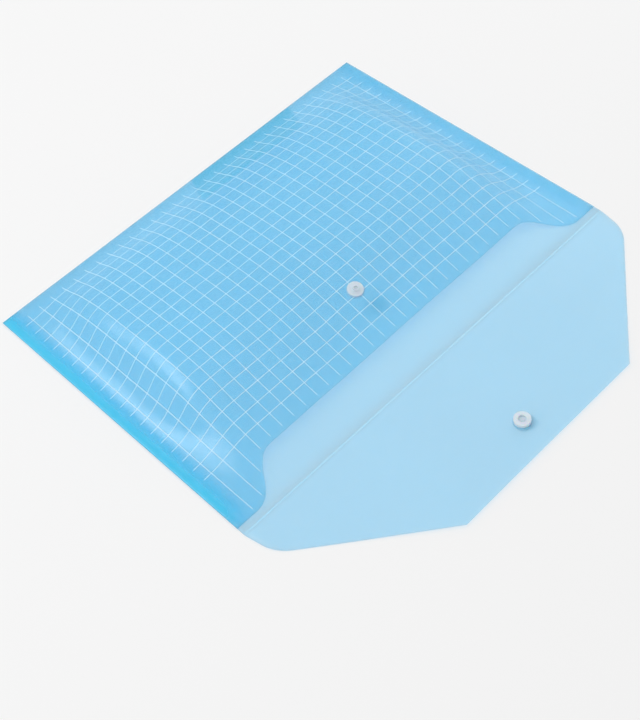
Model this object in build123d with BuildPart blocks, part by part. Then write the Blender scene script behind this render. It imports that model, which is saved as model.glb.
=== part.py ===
from build123d import *
from math import atan2, cos, degrees, radians, sin, tan
import os

# A4 envelope folder in clear blue polypropylene film, lying on its back with the flap open.
# One die-cut sheet makes the back, the front and the flap: it is folded at the bottom,
# creased at the flap and welded down both sides. A four-piece plastic snap closes it.
# X runs along the crease, +Y from the flap to the bottom fold, Z up. All sizes in millimetres.

# Film and outline
sheet = 0.2
ply_gap = 0.1
pocket_width = 330.0
pocket_height = 240.0
weld_width = 6.0

# Flap outline: a tapered shoulder, a rounded corner, a slanted side and a straight tip
flap_length = 92.0
flap_tip_width = 150.0
flap_shoulder_length = 22.0
flap_shoulder_inset = 4.0
flap_corner_radius = 28.0
flap_tip_radius = 1.5

# Crease: a thinner web that the flap bends on, and the height of the line it turns about
crease_web = 0.1
crease_width = 1.2
hinge_height = 0.6
closed_slope = 16.0

# Mouth of the pocket: straight across the middle, with an S-shaped ramp to each side weld
ear_setback = 5.5
mouth_setback = 31.0
ramp_start = 16.0
ramp_end = 52.0

# Bulge of the front panel above the flat ply: at these distances from the bottom fold, the lift
# and how steeply it falls toward the fold. Toward the crease it runs straight under the flap.
fold_slope = -0.12
fold_roll = 30.0, 11.5, -0.42
belly = 70.0, 20.5, -0.1
crest = 128.0, 23.6, 0.0
ear_lift = 0.4
ear_slope = 0.05
ear_run = 24.0
seat_margin = 9.0
station_count = 24
crown_width = 226.0

# Snap fastener
snap_setback = 70.0
cap_diameter = 12.0
cap_thickness = 1.3
cap_edge = 0.5
post_diameter = 2.0
post_head_diameter = 2.8
post_head_height = 0.4
post_clearance = 0.05
hole_clearance = 0.3
seat_gap = 0.1
stud_diameter = 11.0
stud_height = 0.8
nub_diameter = 4.2
nub_neck_diameter = 3.6
nub_height = 1.4
nub_bore_diameter = 2.9
socket_diameter = 11.0
socket_height = 2.2
socket_cavity_depth = 1.7
socket_cavity_diameter = 5.0
face_gap = 0.3
rim_edge = 0.3

# Places worked out from the sizes above
flap_tilt = degrees(atan2(cap_thickness + seat_gap, snap_setback - cap_diameter / 2))
fold_radius = sheet + ply_gap / 2
overall_length = pocket_height + flap_length * cos(radians(flap_tilt))
crease_y = flap_length * cos(radians(flap_tilt)) - overall_length / 2
fold_y = crease_y + pocket_height - fold_radius
half_width = pocket_width / 2
half_inner = half_width - weld_width
front_z = sheet + ply_gap
crease_half = crease_width / 2
flap_root = crease_half + sheet * sin(radians(flap_tilt))

# How far the closed flap's inner face stands off the front panel, square to the film
snap_stack = seat_gap + stud_height + face_gap + socket_height + seat_gap
stand_off = snap_stack - (hinge_height * cos(radians(flap_tilt)) - sheet)
crown_point = (
    0,
    crease_y + snap_setback * cos(radians(closed_slope)) + stand_off * sin(radians(closed_slope)),
    hinge_height + snap_setback * sin(radians(closed_slope)) - stand_off * cos(radians(closed_slope)),
)
snap_place = crown_point[1] - crease_y

seat_slope = tan(radians(closed_slope))
seat_end = snap_place + seat_margin
panel_length = fold_y - crease_y

flap_plane = Plane(
    origin=(0, crease_y, 0),
    x_dir=(1, 0, 0),
    z_dir=(0, sin(radians(flap_tilt)), cos(radians(flap_tilt))),
)
crown_plane = Plane(
    origin=crown_point,
    x_dir=(1, 0, 0),
    z_dir=(0, -sin(radians(closed_slope)), cos(radians(closed_slope))),
)


def seat_lift(place):
    """Lift on the straight slope under the closed flap, this far from the crease."""
    return crown_point[2] + (place - snap_place) * seat_slope - front_z - sheet


def bulge_lift(place):
    """Lift of the crown this far from the crease, on smooth cubics between the stated places."""
    for near, far in zip(bulge_knots, bulge_knots[1:]):
        if place <= far[0]:
            break
    span = far[0] - near[0]
    along = (place - near[0]) / span
    rise = along * along * (3 - 2 * along)
    lead_in = along * (1 - along) ** 2
    lead_out = along * along * (along - 1)
    return near[1] * (1 - rise) + far[1] * rise + span * (near[2] * lead_in + far[2] * lead_out)


def bulge_outline(lift):
    """Closed ribbon one film thick: two smooth shoulders and a flat crown, lifted by this much."""
    crown = crown_width / 2
    bend = (half_inner + crown) / 2
    for height in (front_z, front_z + sheet):
        top = height + lift
        Bezier((-half_inner, height), (-bend, height), (-bend, top), (-crown, top))
        Line((-crown, top), (crown, top))
        Bezier((crown, top), (bend, top), (bend, height), (half_inner, height))
    for side in (-half_inner, half_inner):
        Line((side, front_z), (side, front_z + sheet))


def mouth_outline():
    """Outline of all that the mouth takes away, seen from above."""
    ear = crease_y + ear_setback
    deep = crease_y + mouth_setback
    below = crease_y - mouth_setback
    outer, inner = half_width - ramp_start, half_width - ramp_end
    bend = (outer + inner) / 2
    Bezier((-outer, ear), (-bend, ear), (-bend, deep), (-inner, deep))
    Line((-inner, deep), (inner, deep))
    Bezier((inner, deep), (bend, deep), (bend, ear), (outer, ear))
    Polyline(
        (outer, ear), (half_width, ear), (half_width, below),
        (-half_width, below), (-half_width, ear), (-outer, ear),
    )


# Back panel
with BuildPart() as back_panel:
    back_length = fold_y - crease_y - crease_half
    with BuildSketch():
        with Locations((0, crease_y + crease_half + back_length / 2)):
            Rectangle(2 * half_inner, back_length)
    extrude(amount=sheet)

# Front panel: lofted from the crease to the bottom fold, then the mouth is cut out of it
bulge_knots = [
    (0.0, ear_lift, ear_slope),
    (ear_run, seat_lift(ear_run), seat_slope),
    (seat_end, seat_lift(seat_end), seat_slope),
    (pocket_height - crest[0], crest[1], crest[2]),
    (pocket_height - belly[0], belly[1], belly[2]),
    (pocket_height - fold_roll[0], fold_roll[1], fold_roll[2]),
    (panel_length, 0.0, fold_slope),
]
with BuildPart() as front_panel:
    for station in range(station_count + 1):
        place = panel_length * station / station_count
        lift = bulge_lift(place)
        section = Plane(origin=(0, crease_y + place, 0), x_dir=(1, 0, 0), z_dir=(0, -1, 0))
        with BuildSketch(section):
            with BuildLine():
                bulge_outline(lift)
            make_face()
    loft()
    with BuildSketch():
        with BuildLine():
            mouth_outline()
        make_face()
    extrude(amount=pocket_height, mode=Mode.SUBTRACT)
    with BuildSketch(crown_plane):
        Circle(post_diameter / 2 + hole_clearance)
    extrude(amount=cap_diameter, both=True, mode=Mode.SUBTRACT)

# Bottom fold: the half-round turn that joins the back to the front
with BuildPart() as bottom_fold:
    with BuildSketch(Plane.YZ.offset(-half_width)):
        with Locations((fold_y, fold_radius)):
            Circle(fold_radius)
            Circle(ply_gap / 2, mode=Mode.SUBTRACT)
        with Locations((fold_y - fold_radius, fold_radius)):
            Rectangle(2 * fold_radius, 2 * fold_radius, mode=Mode.SUBTRACT)
    extrude(amount=pocket_width)

# Side welds: both plies melted into one band
with BuildPart() as left_side_weld:
    with BuildSketch():
        with Locations((-half_width + weld_width / 2, crease_y + crease_half + back_length / 2)):
            Rectangle(weld_width, back_length)
    extrude(amount=front_z + sheet)

with BuildPart() as right_side_weld:
    mirror(left_side_weld.part, about=Plane.YZ)

# Crease: the thinned web between the back and the flap
with BuildPart() as flap_crease:
    with BuildSketch(Plane.XY.offset((sheet - crease_web) / 2)):
        with Locations((0, crease_y)):
            Rectangle(pocket_width, crease_width)
    extrude(amount=crease_web)

# Flap panel, with the hole for its snap
with BuildPart() as flap_panel:
    with BuildSketch(flap_plane) as flap_outline:
        with BuildLine():
            Polyline(
                (-half_width, -flap_root),
                (-half_width + flap_shoulder_inset, -flap_shoulder_length),
                (-flap_tip_width / 2, -flap_length),
                (flap_tip_width / 2, -flap_length),
                (half_width - flap_shoulder_inset, -flap_shoulder_length),
                (half_width, -flap_root),
                close=True,
            )
        make_face()
        corners = flap_outline.vertices().sort_by(Axis.Y)
        fillet(corners[0:2], radius=flap_tip_radius)
        fillet(flap_outline.vertices().filter_by(
            lambda corner: abs(abs(corner.X) - half_width + flap_shoulder_inset) < sheet
        ), radius=flap_corner_radius)
        with Locations((0, -snap_setback)):
            Circle(post_diameter / 2 + hole_clearance, mode=Mode.SUBTRACT)
    extrude(amount=sheet)


def turned(film_plane, outline, rounded, radius):
    """Solid turned about the film's normal. The outline is pairs of radius and height."""
    side = Plane(
        origin=film_plane.origin,
        x_dir=film_plane.x_dir,
        z_dir=film_plane.x_dir.cross(film_plane.z_dir),
    )
    with BuildPart() as piece:
        with BuildSketch(side) as half:
            with BuildLine():
                Polyline(*outline, close=True)
            make_face()
            for place, height in rounded:
                fillet(half.vertices().sort_by_distance((place, height, 0))[0], radius=radius)
        revolve(axis=Axis(film_plane.origin, film_plane.z_dir))
    return piece


def snap_cap(film_plane, film_back, plate_top):
    """Cap behind the film: its post goes through the film and is pressed over on the plate."""
    top = film_back - seat_gap
    bottom = top - cap_thickness
    rim, post, head = cap_diameter / 2, post_diameter / 2, post_head_diameter / 2
    outline = [
        (0, bottom), (rim, bottom), (rim, top), (post, top), (post, plate_top),
        (head, plate_top), (head, plate_top + post_head_height), (0, plate_top + post_head_height),
    ]
    return turned(film_plane, outline, [(rim, bottom)], cap_edge)


# Snap on the front panel: cap inside the pocket, stud outside
stud_top = seat_gap + stud_height
front_snap_cap = snap_cap(crown_plane, -sheet, stud_top)

stud_rim, neck, nub = stud_diameter / 2, nub_neck_diameter / 2, nub_diameter / 2
bore = post_diameter / 2 + post_clearance
nub_top = stud_top + nub_height
front_snap_stud = turned(
    crown_plane,
    [
        (bore, seat_gap), (stud_rim, seat_gap), (stud_rim, stud_top), (neck, stud_top),
        (nub, stud_top + nub_height / 2), (nub, nub_top), (nub_bore_diameter / 2, nub_top),
        (nub_bore_diameter / 2, stud_top), (bore, stud_top),
    ],
    [(stud_rim, stud_top), (nub, nub_top)],
    rim_edge,
)

# Snap on the flap: cap on the outer face, socket on the inner face
socket_seat = sheet + seat_gap
socket_top = socket_seat + socket_height
cavity_floor = socket_top - socket_cavity_depth
flap_snap_plane = Plane(
    origin=flap_plane.from_local_coords((0, -snap_setback, 0)),
    x_dir=flap_plane.x_dir,
    z_dir=flap_plane.z_dir,
)
flap_snap_cap = snap_cap(flap_snap_plane, 0, cavity_floor)

socket_rim, cavity = socket_diameter / 2, socket_cavity_diameter / 2
flap_snap_socket = turned(
    flap_snap_plane,
    [
        (bore, socket_seat), (socket_rim, socket_seat), (socket_rim, socket_top), (cavity, socket_top),
        (cavity, cavity_floor), (bore, cavity_floor),
    ],
    [(socket_rim, socket_top), (cavity, socket_top)],
    rim_edge,
)

back_panel.part.label = "back_panel"
front_panel.part.label = "front_panel"
bottom_fold.part.label = "bottom_fold"
left_side_weld.part.label = "left_side_weld"
right_side_weld.part.label = "right_side_weld"
flap_crease.part.label = "flap_crease"
flap_panel.part.label = "flap_panel"
front_snap_cap.part.label = "front_snap_cap"
front_snap_stud.part.label = "front_snap_stud"
flap_snap_cap.part.label = "flap_snap_cap"
flap_snap_socket.part.label = "flap_snap_socket"

os.makedirs("parts", exist_ok=True)
export_step(back_panel.part, "parts/back_panel.step")
export_step(front_panel.part, "parts/front_panel.step")
export_step(bottom_fold.part, "parts/bottom_fold.step")
export_step(left_side_weld.part, "parts/left_side_weld.step")
export_step(right_side_weld.part, "parts/right_side_weld.step")
export_step(flap_crease.part, "parts/flap_crease.step")
export_step(flap_panel.part, "parts/flap_panel.step")
export_step(front_snap_cap.part, "parts/front_snap_cap.step")
export_step(front_snap_stud.part, "parts/front_snap_stud.step")
export_step(flap_snap_cap.part, "parts/flap_snap_cap.step")
export_step(flap_snap_socket.part, "parts/flap_snap_socket.step")
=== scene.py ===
import bpy
import math
from mathutils import Matrix, Vector, noise


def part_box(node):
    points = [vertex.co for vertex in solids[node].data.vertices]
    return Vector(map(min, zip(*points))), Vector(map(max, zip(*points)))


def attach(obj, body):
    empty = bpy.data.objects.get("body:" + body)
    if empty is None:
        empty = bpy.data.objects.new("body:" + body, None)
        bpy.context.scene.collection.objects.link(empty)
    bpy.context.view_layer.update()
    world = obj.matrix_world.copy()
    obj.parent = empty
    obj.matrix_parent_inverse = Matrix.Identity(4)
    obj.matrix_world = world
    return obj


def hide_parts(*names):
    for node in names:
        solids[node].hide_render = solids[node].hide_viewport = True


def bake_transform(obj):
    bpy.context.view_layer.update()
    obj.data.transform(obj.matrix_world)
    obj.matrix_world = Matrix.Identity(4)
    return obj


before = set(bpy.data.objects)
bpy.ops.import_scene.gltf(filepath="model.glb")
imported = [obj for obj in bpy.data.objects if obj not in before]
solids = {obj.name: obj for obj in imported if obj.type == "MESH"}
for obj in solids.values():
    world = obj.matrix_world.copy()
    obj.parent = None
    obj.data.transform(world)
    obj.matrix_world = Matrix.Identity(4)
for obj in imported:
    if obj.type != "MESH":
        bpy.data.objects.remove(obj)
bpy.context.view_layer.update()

MM = 0.001

# Sizes of the folder, in millimetres, as the frame has them. d is the distance from the crease:
# positive over the pocket, negative over the flap. t is the same distance, counted along the flap.
SHEET = 0.2
HALF_WIDTH = 165.0
HALF_INNER = 159.0
HALF_CROWN = 113.0
HEIGHT = 240.0
FRONT_Z = 0.3
FOLD_RADIUS = 0.25
FOLD_END = HEIGHT - FOLD_RADIUS
CREASE_HALF = 0.6
CREASE_WEB = 0.1
HINGE_HEIGHT = 0.6
EAR_D = 5.5
MOUTH_D = 31.0
RAMP_OUTER = 149.0
RAMP_INNER = 113.0
FLAP_LENGTH = 92.0
FLAP_HALF_TIP = 75.0
SHOULDER_LENGTH = 22.0
SHOULDER_INSET = 4.0
CORNER_RADIUS = 28.0
TIP_RADIUS = 1.5

# The snap: its place, the cap that the open flap rests on, and the closed snap between the two films
SNAP_D = 70.0
CAP_RADIUS = 6.0
CAP_HEIGHT = 1.4
SNAP_STACK = 3.5
CLOSED_SLOPE = math.radians(16.0)
FLAP_TILT = math.atan2(CAP_HEIGHT, SNAP_D - CAP_RADIUS)

low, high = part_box("flap_crease")
CREASE_Y = (low.y + high.y) / 2 / MM


def ease(t):
    """S-curve from 0 to 1."""
    return t * t * (3 - 2 * t)


def smooth(value, start, end):
    """0 before start, 1 after end, an S-curve between."""
    return ease(min(1.0, max(0.0, (value - start) / (end - start))))


# The front panel's bulge, as the solids have it
stand_off = SNAP_STACK - (HINGE_HEIGHT * math.cos(FLAP_TILT) - SHEET)
crown_d = SNAP_D * math.cos(CLOSED_SLOPE) + stand_off * math.sin(CLOSED_SLOPE)
crown_z = HINGE_HEIGHT + SNAP_D * math.sin(CLOSED_SLOPE) - stand_off * math.cos(CLOSED_SLOPE)
seat_slope = math.tan(CLOSED_SLOPE)
SEAT_START = 24.0
SEAT_MARGIN = 9.0


def seat_lift(d):
    """Lift on the straight slope under the closed flap."""
    return crown_z + (d - crown_d) * seat_slope - FRONT_Z - SHEET


# Distance from the crease, lift above the flat ply, slope
KNOTS = [
    (0.0, 0.4, 0.05),
    (SEAT_START, seat_lift(SEAT_START), seat_slope),
    (crown_d + SEAT_MARGIN, seat_lift(crown_d + SEAT_MARGIN), seat_slope),
    (112.0, 23.6, 0.0),
    (170.0, 20.5, -0.1),
    (210.0, 11.5, -0.42),
    (FOLD_END, 0.0, -0.12),
]


def bulge_lift(d):
    """Lift of the crown, on smooth cubics between the knots."""
    for near, far in zip(KNOTS, KNOTS[1:]):
        if d <= far[0]:
            break
    span = far[0] - near[0]
    t = (d - near[0]) / span
    rise = ease(t)
    bend = near[2] * t * (1 - t) ** 2 + far[2] * t * t * (t - 1)
    return near[1] * (1 - rise) + far[1] * rise + span * bend


RAMP_HALVINGS = 30


def ramp(value, start, end):
    """How far along an S-ramp a place is: its ends are level and its sides are cubic curves."""
    if value <= start:
        return 0.0
    if value >= end:
        return 1.0
    mid = (start + end) / 2
    a, b = 0.0, 1.0
    for _ in range(RAMP_HALVINGS):
        t = (a + b) / 2
        x = start * (1 - t) ** 3 + 3 * mid * t * (1 - t) + end * t ** 3
        a, b = (t, b) if x < value else (a, t)
    return ease(t)


def mouth_d(x):
    """Distance of the mouth's edge from the crease."""
    return MOUTH_D + (EAR_D - MOUTH_D) * ramp(abs(x), RAMP_INNER, RAMP_OUTER)


# Slow unevenness of the film, in millimetres of height: two waves on the pocket, one on the flap.
# A pair says over which distances it sets in, from the fold and the welds, the crease and the snap.
PANEL_EDGE = (0, 30)
PANEL_SNAP = (9, 38)
FLAP_CREASE = (3, 40)
FLAP_SNAP = (8, 36)
FLAP_CORNER_X = (30, 120)
FLAP_CORNER_T = (20, 70)
PANEL_SLOW = 1.5
PANEL_QUICK = 0.45
PANEL_SINK = 0.35
FULL_WAVE_LIFT = 8.0
FLAP_SLOW = 0.5
FLAP_SINK = 0.5


def wave(x, d, across, along, layer, shift=0.0):
    """Noise over the sheet, from its own layer, with these turns a millimetre."""
    return noise.noise(Vector((x * across + shift, d * along, layer)))


def panel_wave(x, d):
    """Unevenness of the bulged film: none at the welds, the fold and the snap."""
    free = smooth(HALF_INNER - abs(x), *PANEL_EDGE) * smooth(FOLD_END - d, *PANEL_EDGE)
    free *= smooth(math.hypot(x, d - crown_d), *PANEL_SNAP)
    slow = wave(x, d, 0.013, 0.017, 3.7)
    quick = wave(x, d, 0.034, 0.041, 8.1, shift=5.0)
    return free * (PANEL_SLOW * slow + PANEL_QUICK * quick - PANEL_SINK)


def flap_wave(x, t):
    """Unevenness of the flap: none at the crease and the snap, and its corners hang a little."""
    free = smooth(t, *FLAP_CREASE) * smooth(math.hypot(x, t - SNAP_D), *FLAP_SNAP)
    slow = wave(x, t, 0.016, 0.021, 11.3)
    corner = smooth(abs(x), *FLAP_CORNER_X) * smooth(t, *FLAP_CORNER_T)
    return free * (FLAP_SLOW * slow - FLAP_SINK - FLAP_SINK * corner)


def front_z(x, d):
    """Height of the front panel's outer face."""
    lift = bulge_lift(d) * (1 - ramp(abs(x), HALF_CROWN, HALF_INNER))
    z = FRONT_Z + SHEET + lift
    return max(FRONT_Z + SHEET, z + panel_wave(x, d) * min(1.0, lift / FULL_WAVE_LIFT))


def place(x, d, z):
    """A point of the frame from its distances in millimetres."""
    return Vector((x, CREASE_Y + d, z)) * MM


def add_mesh(name, points, faces):
    mesh = bpy.data.meshes.new(name)
    mesh.from_pydata([tuple(p) for p in points], [], faces)
    mesh.validate()
    mesh.polygons.foreach_set("use_smooth", [True] * len(mesh.polygons))
    obj = bpy.data.objects.new(name, mesh)
    bpy.context.scene.collection.objects.link(obj)
    return obj


def shell(name, rows, thickness, open_ends=()):
    """Closed thin sheet from a grid of (outer point, unit normal). Its rim is a cut edge, apart
    from the first or last row where that is named in open_ends, because the film goes on there."""
    height, width = len(rows), len(rows[0])
    points = [p for row in rows for p, n in row]
    points += [p - n * thickness for row in rows for p, n in row]
    back = height * width
    faces = []
    for i in range(height - 1):
        for j in range(width - 1):
            a = i * width + j
            b, c, e = a + 1, a + width + 1, a + width
            faces.append((a, b, c, e))
            faces.append((back + e, back + c, back + b, back + a))
    broad = len(faces)
    for i in range(height - 1):
        for j, turn in ((0, False), (width - 1, True)):
            a, b = i * width + j, (i + 1) * width + j
            face = (a, b, back + b, back + a)
            faces.append(face[::-1] if turn else face)
    joined = []
    for i, turn, end in ((0, True, "first"), (height - 1, False, "last")):
        for j in range(width - 1):
            a, b = i * width + j, i * width + j + 1
            face = (a, b, back + b, back + a)
            if end in open_ends:
                joined.append(len(faces))
            faces.append(face[::-1] if turn else face)
    obj = add_mesh(name, points, faces)
    for face in obj.data.polygons[broad:]:
        face.use_smooth = False
        face.material_index = 0 if face.index in joined else 1
    return obj


# Materials. owner is a material or the world, whose nodes are being laid.
def feed(owner, node, inputs):
    """Link each of these inputs of a node from a socket, or set it to a number or colour."""
    for key, value in inputs.items():
        if isinstance(value, bpy.types.NodeSocket):
            owner.node_tree.links.new(value, node.inputs[key])
        else:
            node.inputs[key].default_value = value
    return node


def add_node(owner, kind, inputs):
    return feed(owner, owner.node_tree.nodes.new(kind), inputs)


def calculate(owner, operation, *values):
    """One step of arithmetic on sockets or numbers."""
    step = owner.node_tree.nodes.new("ShaderNodeMath")
    step.operation = operation
    return feed(owner, step, dict(enumerate(values))).outputs["Value"]


def fade(mat, value, start, end):
    """0 to 1 as a length goes from start to end, in millimetres."""
    span = mat.node_tree.nodes.new("ShaderNodeMapRange")
    span.interpolation_type = "SMOOTHSTEP"
    return feed(mat, span, {"Value": value, "From Min": start * MM, "From Max": end * MM}).outputs["Result"]


def object_coords(mat):
    return add_node(mat, "ShaderNodeTexCoord", {}).outputs["Object"]


def cloud(mat, scale, detail):
    texture = {"Vector": object_coords(mat), "Scale": scale, "Detail": detail}
    return add_node(mat, "ShaderNodeTexNoise", texture).outputs["Fac"]


def shader_of(mat):
    return mat.node_tree.nodes["Principled BSDF"]


def plain_material(name, settings):
    """A material with these settings on its shader's own sockets."""
    mat = bpy.data.materials.new(name)
    mat.use_nodes = True
    feed(mat, shader_of(mat), settings)
    return mat


def tinted_material(name, dark, light, scale, settings):
    """A material whose colour drifts between two tones, in clouds of this scale."""
    mat = plain_material(name, settings)
    tint = add_node(mat, "ShaderNodeValToRGB", {"Fac": cloud(mat, scale, 3.0)})
    for element, position, colour in zip(tint.color_ramp.elements, (0.3, 0.7), (dark, light)):
        element.position = position
        element.color = (*colour, 1)
    feed(mat, shader_of(mat), {"Base Color": tint.outputs["Color"]})
    return mat


def film_material(name, dark, light, alpha, roughness):
    """Clear film with a fine unevenness in its gloss. alpha is how deep its colour is."""
    settings = {"Alpha": alpha, "Roughness": roughness, "IOR": 1.49, "Specular IOR Level": 0.9}
    mat = tinted_material(name, dark, light, 9.0, settings)
    grain = {"Height": cloud(mat, 140.0, 2.0), "Strength": 0.06, "Distance": 0.0006}
    feed(mat, shader_of(mat), {"Normal": add_node(mat, "ShaderNodeBump", grain).outputs["Normal"]})
    return mat


def wavy_place(mat, wobble):
    """The place across and along the folder, with its straight lines made a little uneven."""
    axes = add_node(mat, "ShaderNodeSeparateXYZ", {"Vector": object_coords(mat)}).outputs
    shift = calculate(mat, "MULTIPLY_ADD", cloud(mat, 22.0, 2.0), 2 * wobble * MM, -wobble * MM)
    return calculate(mat, "ADD", axes["X"], shift), calculate(mat, "ADD", axes["Y"], shift)


# Sockets of the Mix node that hold its colours
MIX_A = 6
MIX_B = 7
MIX_RESULT = 2


def deepen(mat, mask, extra, colour):
    """Add to the film's depth, and turn its colour, where the mask says."""
    shader = shader_of(mat)
    depth = calculate(mat, "MULTIPLY_ADD", mask, extra, shader.inputs["Alpha"].default_value)
    before = shader.inputs["Base Color"].links[0].from_socket
    blend = mat.node_tree.nodes.new("ShaderNodeMix")
    blend.data_type = "RGBA"
    feed(mat, blend, {"Factor": mask, MIX_A: before, MIX_B: (*colour, 1)})
    feed(mat, shader, {"Alpha": depth, "Base Color": blend.outputs[MIX_RESULT]})


DEPTH = 0.235
BLUE = (0.0, 0.53, 0.85)
PALE_BLUE = (0.01, 0.57, 0.90)
film = film_material("film_blue", BLUE, PALE_BLUE, DEPTH, 0.18)
crease_film = film_material("film_crease", (0.12, 0.66, 0.95), (0.2, 0.72, 0.98), 0.26, 0.25)
# Cut edges of the film: denser than the film, as the film is seen edge-on there, and paler, which is a
# painted highlight along every rim
cut_edge_highlight = film_material("film_cut_edge", (0.10, 0.66, 0.92), (0.22, 0.76, 0.96), 0.75, 0.3)

# Front film: a deeper patch along the bottom fold, in the shape of a band with slanted ends
PATCH_START = 4.0
PATCH_END = 103.0
PATCH_REACH = 34.0
PATCH_SLANT = 0.42
PATCH_EDGE = 3.0
PATCH_DEPTH = 0.18
pocket_film = film_material("film_pocket", BLUE, PALE_BLUE, DEPTH, 0.18)
across, along = wavy_place(pocket_film, 2.0)
below_fold = calculate(pocket_film, "SUBTRACT", (CREASE_Y + HEIGHT) * MM, along)
slanted = calculate(pocket_film, "MULTIPLY_ADD", below_fold, PATCH_SLANT, across)
patch = calculate(
    pocket_film, "MULTIPLY",
    fade(pocket_film, slanted, PATCH_START, PATCH_START + PATCH_EDGE),
    fade(pocket_film, slanted, PATCH_END, PATCH_END - PATCH_EDGE),
)
patch = calculate(
    pocket_film, "MULTIPLY", patch, fade(pocket_film, below_fold, PATCH_REACH, PATCH_REACH - PATCH_EDGE)
)
deepen(pocket_film, patch, PATCH_DEPTH, (0.0, 0.52, 0.80))

# Welded film: deepest at the outer edge of the left side, running out into the clear film, toward
# the crease and toward the right side
WELD_REACH = 16.0
WELD_DEPTH = 0.5
WELD_CYAN = (0.01, 0.66, 0.93)
WELD_SOLID = 2.0
WELD_FADE_ALONG = (-6.0, 26.0)
WELD_FADE_ACROSS = (420.0, -260.0)
weld_film = film_material("film_welded", BLUE, PALE_BLUE, 0.0, 0.28)
across, along = wavy_place(weld_film, 1.2)
outward = calculate(weld_film, "ABSOLUTE", across)
melt = calculate(
    weld_film, "MULTIPLY",
    fade(weld_film, outward, HALF_WIDTH - WELD_REACH, HALF_WIDTH - WELD_SOLID),
    fade(weld_film, along, CREASE_Y + WELD_FADE_ALONG[0], CREASE_Y + WELD_FADE_ALONG[1]),
)
melt = calculate(weld_film, "MULTIPLY", melt, fade(weld_film, across, *WELD_FADE_ACROSS))
deepen(weld_film, melt, WELD_DEPTH, WELD_CYAN)

snap_plastic = tinted_material("snap_white", (0.78, 0.88, 0.98), (0.88, 0.94, 1.0), 160.0, {
    "Alpha": 0.68, "Roughness": 0.32, "Subsurface Weight": 0.25, "Subsurface Scale": 0.002,
})
ink = tinted_material("printed_white", (0.76, 0.91, 0.97), (0.88, 0.97, 1.0), 60.0, {
    "Alpha": 0.6, "Roughness": 0.55,
})


def paint(obj, *mats):
    obj.data.materials.clear()
    for mat in mats:
        obj.data.materials.append(mat)


# Front panel: one sheet, with finer columns along the ramps at its sides
RAMP_COLUMNS = 26
CROWN_COLUMNS = 68
FRONT_ROWS = 92
NORMAL_STEP = 0.4
side_columns = [-HALF_WIDTH, -HALF_WIDTH + 3.0]
side_columns += [-HALF_INNER + i * (HALF_INNER - HALF_CROWN) / RAMP_COLUMNS for i in range(RAMP_COLUMNS)]
crown_columns = [-HALF_CROWN + i * 2 * HALF_CROWN / CROWN_COLUMNS for i in range(CROWN_COLUMNS + 1)]
columns = side_columns + crown_columns + [-x for x in reversed(side_columns)]


def front_spot(x, d):
    return place(x, d, front_z(x, d))


def front_point(x, d):
    """Place and normal of the front panel's outer face."""
    dx = front_spot(x + NORMAL_STEP, d) - front_spot(x - NORMAL_STEP, d)
    dd = front_spot(x, d + NORMAL_STEP) - front_spot(x, d - NORMAL_STEP)
    return front_spot(x, d), dx.cross(dd).normalized()


front_rows = []
for i in range(FRONT_ROWS + 1):
    row = []
    for x in columns:
        start = mouth_d(x)
        row.append(front_point(x, start + (FOLD_END - start) * i / FRONT_ROWS))
    front_rows.append(row)
front = shell("front_sheet", front_rows, SHEET * MM, ("last",))
paint(front, pocket_film, cut_edge_highlight)
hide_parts("front_panel")
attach(front, "pocket")

# Back panel, to the full width under the welds
UPWARD = Vector((0, 0, 1))
BACK_ROWS = 24
BACK_HALF_COLUMNS = 16
back_rows = []
for k in range(BACK_ROWS + 1):
    d = CREASE_HALF + (FOLD_END - CREASE_HALF) * k / BACK_ROWS
    back_rows.append([
        (place(HALF_WIDTH * u / BACK_HALF_COLUMNS, d, SHEET), UPWARD)
        for u in range(-BACK_HALF_COLUMNS, BACK_HALF_COLUMNS + 1)
    ])
back_sheet = shell("back_sheet", back_rows, SHEET * MM, ("first", "last"))
paint(back_sheet, film, cut_edge_highlight)
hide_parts("back_panel")
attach(back_sheet, "pocket")

# Side welds: a band of melted film on each side, which the material fades out inward. It lies just
# above the front sheet, and stops just short of the sheet's edges.
WELD_ROWS = 80
WELD_COLUMNS = 12
WELD_FILM = 0.02
WELD_LIFT = 0.03
WELD_SIDE_MARGIN = 0.05
WELD_END_MARGIN = 0.2
bands = []
for side_name, sign in (("left", -1), ("right", 1)):
    weld_rows = []
    for k in range(WELD_ROWS + 1):
        d = EAR_D + WELD_END_MARGIN + (FOLD_END - EAR_D - 2 * WELD_END_MARGIN) * k / WELD_ROWS
        row = []
        for u in range(WELD_COLUMNS + 1):
            x = HALF_WIDTH - WELD_SIDE_MARGIN - WELD_REACH * u / WELD_COLUMNS
            point, normal = front_point(sign * x, d)
            row.append((point + normal * WELD_LIFT * MM, normal))
        weld_rows.append(row if sign < 0 else row[::-1])
    band = shell(side_name + "_weld_band", weld_rows, WELD_FILM * MM)
    paint(band, weld_film, weld_film)
    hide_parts(side_name + "_side_weld")
    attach(band, "pocket")
    bands.append(band)

# Printed grid: 10 mm squares of thin pale lines lying on the front panel, whose ends stick out
LINE = 0.45
PITCH = 10.0
INK_LIFT = 0.06
INK_STEP = 1.25
TICK = 6.0
GRID_TO_FOLD = 15.0
GRID_TO_MOUTH = 3.0
GRID_HALF_COLUMNS = 15
GRID_ROWS = 19
grid_x = [PITCH * k for k in range(-GRID_HALF_COLUMNS, GRID_HALF_COLUMNS + 1)]
grid_d = [HEIGHT - GRID_TO_FOLD - PITCH * k for k in range(GRID_ROWS)]
ink_points, ink_faces = [], []


def ribbon(path, sideways):
    """One line of ink along a path, which widens in this direction."""
    start = len(ink_points)
    for x, d in path:
        for edge in (-0.5, 0.5):
            point, normal = front_point(x + sideways[0] * edge * LINE, d + sideways[1] * edge * LINE)
            ink_points.append(point + normal * INK_LIFT * MM)
    for k in range(len(path) - 1):
        a = start + 2 * k
        face = (a, a + 1, a + 3, a + 2)
        ink_faces.append(face[::-1] if sideways[0] else face)


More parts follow.
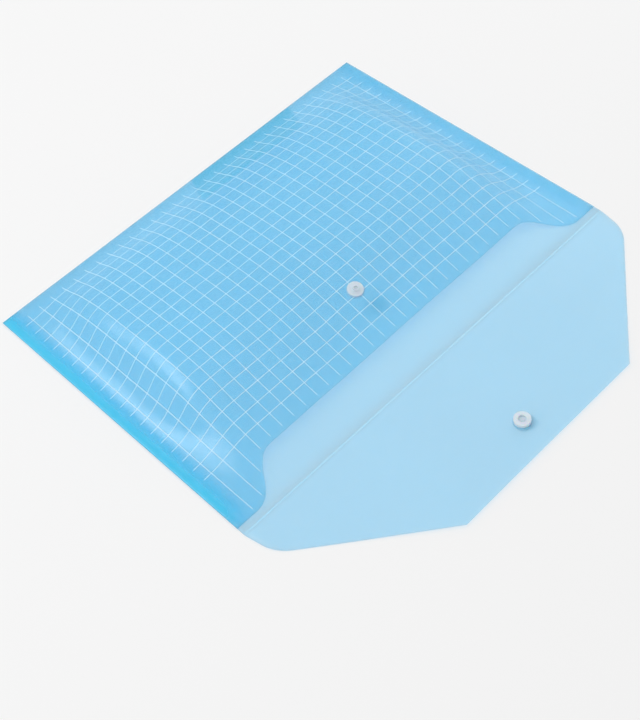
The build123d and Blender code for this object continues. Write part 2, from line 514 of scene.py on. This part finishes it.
def steps(start, end):
    """Places from start to end, at most one ink step apart."""
    count = max(1, math.ceil(abs(end - start) / INK_STEP))
    return [start + (end - start) * k / count for k in range(count + 1)]


for x in grid_x:
    ribbon([(x, d) for d in steps(mouth_d(x) + GRID_TO_MOUTH, grid_d[0] + TICK)], (1, 0))
for d in grid_d:
    ribbon([(x, d) for x in steps(-grid_x[-1] - TICK, grid_x[-1] + TICK)], (0, 1))
grid = add_mesh("printed_grid", ink_points, ink_faces)
paint(grid, ink)
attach(grid, "pocket")


# Flap: one sheet with soft unevenness, lying on its snap cap
def fillet_points(before, corner, after, radius, count):
    """Points of the arc that rounds a corner."""
    to_before = (before - corner).normalized()
    to_after = (after - corner).normalized()
    half = to_before.angle(to_after) / 2
    centre = corner + (to_before + to_after).normalized() * radius / math.sin(half)
    start = corner + to_before * radius / math.tan(half) - centre
    end = corner + to_after * radius / math.tan(half) - centre
    turn = start.angle_signed(end)
    return [centre + Matrix.Rotation(-turn * k / count, 2) @ start for k in range(count + 1)]


CORNER_STEPS = 24
TIP_STEPS = 6
root = Vector((HALF_WIDTH, CREASE_HALF))
shoulder = Vector((HALF_WIDTH - SHOULDER_INSET, SHOULDER_LENGTH))
tip = Vector((FLAP_HALF_TIP, FLAP_LENGTH))
tip_middle = Vector((0.0, FLAP_LENGTH))
outline = [root] + fillet_points(root, shoulder, tip, CORNER_RADIUS, CORNER_STEPS)
outline += fillet_points(shoulder, tip, tip_middle, TIP_RADIUS, TIP_STEPS)


def flap_half_width(t):
    for a, b in zip(outline, outline[1:]):
        if t <= b.y:
            return a.x + (b.x - a.x) * (t - a.y) / max(1e-9, b.y - a.y)
    return outline[-1].x


def flap_point(x, t):
    """Place on the flap's inner face."""
    rise = max(0.0, t * math.sin(FLAP_TILT) + flap_wave(x, t))
    return Vector((x, CREASE_Y - t * math.cos(FLAP_TILT) + SHEET * math.sin(FLAP_TILT),
                   rise + SHEET * math.cos(FLAP_TILT))) * MM


FLAP_ROWS = 46
FLAP_HALF_COLUMNS = 44
even_steps = {CREASE_HALF + (FLAP_LENGTH - CREASE_HALF) * k / FLAP_ROWS for k in range(FLAP_ROWS + 1)}
flap_normal = Vector((0, math.sin(FLAP_TILT), math.cos(FLAP_TILT)))
flap_rows = []
for t in sorted({round(corner.y, 3) for corner in outline} | even_steps, reverse=True):
    half_width = flap_half_width(t)
    flap_rows.append([
        (flap_point(half_width * u / FLAP_HALF_COLUMNS, t), flap_normal)
        for u in range(-FLAP_HALF_COLUMNS, FLAP_HALF_COLUMNS + 1)
    ])
flap = shell("flap_sheet", flap_rows, SHEET * MM, ("last",))
paint(flap, film, cut_edge_highlight)
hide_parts("flap_panel")
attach(flap, "flap")

# Crease: the thinned web between the pocket and the flap
WEB_HALF_ROWS = 4
WEB_HALF_COLUMNS = 40
web_rows = []
for k in range(-WEB_HALF_ROWS, WEB_HALF_ROWS + 1):
    d = CREASE_HALF * k / WEB_HALF_ROWS
    web_rows.append([
        (place(HALF_WIDTH * u / WEB_HALF_COLUMNS, d, (SHEET + CREASE_WEB) / 2), UPWARD)
        for u in range(-WEB_HALF_COLUMNS, WEB_HALF_COLUMNS + 1)
    ])
web = shell("crease_web", web_rows, CREASE_WEB * MM, ("first", "last"))
paint(web, crease_film, cut_edge_highlight)
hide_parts("flap_crease")
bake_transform(web)

# CAD pieces that keep their shape
paint(solids["bottom_fold"], film)
for name in ("front_snap_cap", "front_snap_stud", "flap_snap_cap", "flap_snap_socket"):
    paint(solids[name], snap_plastic)

# The clear film passes the light on, so only the snap shades what lies below
for obj in (front, back_sheet, *bands, flap, web, grid, solids["bottom_fold"]):
    obj.visible_shadow = False

# Floor
FLOOR_HALF = 4.0
FLOOR_Z = -0.0003
floor_material = plain_material("floor_white", {
    "Base Color": (0.93, 0.93, 0.93, 1), "Roughness": 0.9, "Specular IOR Level": 0.0,
})
corners = ((-1, -1), (1, -1), (1, 1), (-1, 1))
floor_points = [(x * FLOOR_HALF, y * FLOOR_HALF, FLOOR_Z) for x, y in corners]
floor = add_mesh("floor", floor_points, [(0, 1, 2, 3)])
paint(floor, floor_material)

# Light: an even white room, a broad sun and two soft lamps that put a gentle gloss on the film.
# Camera, transmission and glossy rays see the room whiter than it lights the folder.
ROOM_LIGHT = 0.69
ROOM_SEEN = 0.93
WHITE = (1, 1, 1, 1)
world = bpy.data.worlds.new("room")
bpy.context.scene.world = world
world.use_nodes = True
lighting = feed(world, world.node_tree.nodes["Background"], {"Color": WHITE, "Strength": ROOM_LIGHT})
seen = add_node(world, "ShaderNodeBackground", {"Color": WHITE, "Strength": ROOM_SEEN})
rays = add_node(world, "ShaderNodeLightPath", {}).outputs
sees_room = calculate(world, "MAXIMUM", rays["Is Camera Ray"], rays["Is Transmission Ray"])
sees_room = calculate(world, "MAXIMUM", sees_room, rays["Is Glossy Ray"])
room = add_node(world, "ShaderNodeMixShader", {0: sees_room, 1: lighting.outputs[0], 2: seen.outputs[0]})
feed(world, world.node_tree.nodes["World Output"], {"Surface": room.outputs[0]})


def add_lamp(name, kind, position, power):
    """A lamp that points at the folder."""
    data = bpy.data.lights.new(name, kind)
    data.energy = power
    lamp = bpy.data.objects.new(name, data)
    bpy.context.scene.collection.objects.link(lamp)
    lamp.location = position
    lamp.rotation_mode = "QUATERNION"
    lamp.rotation_quaternion = (-Vector(position)).to_track_quat("-Z", "Y")
    return data


def add_panel_lamp(name, position, power, size, size_y):
    panel = add_lamp(name, "AREA", position, power)
    panel.shape = "RECTANGLE"
    panel.size = size
    panel.size_y = size_y


sun = add_lamp("sun", "SUN", (-1.2, 1.6, 2.6), 0.70)
sun.angle = math.radians(35)
add_panel_lamp("key", (-0.75, 0.55, 1.1), 2.2, 0.9, 0.35)
add_panel_lamp("fill", (1.1, 0.5, 0.8), 1.6, 0.8, 0.8)

# Camera, fitted to the corners of the pocket and the flap in the photograph
AZIMUTH = math.radians(-36.77)
ELEVATION = math.radians(53.03)
ROLL = math.radians(-10.09)
DISTANCE = 0.81712
FOCAL = 1289.94
FRAME_HEIGHT = 720
SENSOR = 36.0
AIM = Vector((-0.0470, -0.01831, 0.0))
to_camera = Vector((
    math.sin(AZIMUTH) * math.cos(ELEVATION), -math.cos(AZIMUTH) * math.cos(ELEVATION), math.sin(ELEVATION)
))
camera_data = bpy.data.cameras.new("camera")
camera_data.sensor_fit = "AUTO"
camera_data.sensor_width = SENSOR
camera_data.lens = FOCAL / FRAME_HEIGHT * SENSOR
camera_data.clip_start = 0.05
camera = bpy.data.objects.new("camera", camera_data)
bpy.context.scene.collection.objects.link(camera)
camera.location = AIM + to_camera * DISTANCE
camera.rotation_mode = "QUATERNION"
level = (-to_camera).to_track_quat("-Z", "Y").to_matrix()
camera.rotation_quaternion = (level @ Matrix.Rotation(ROLL, 3, "Z")).to_quaternion()
bpy.context.scene.camera = camera

bpy.context.scene.view_settings.view_transform = "Standard"

# A ray can meet more faces of clear film than the usual limit of 8, where it would turn dark
bpy.context.scene.cycles.transparent_max_bounces = 64
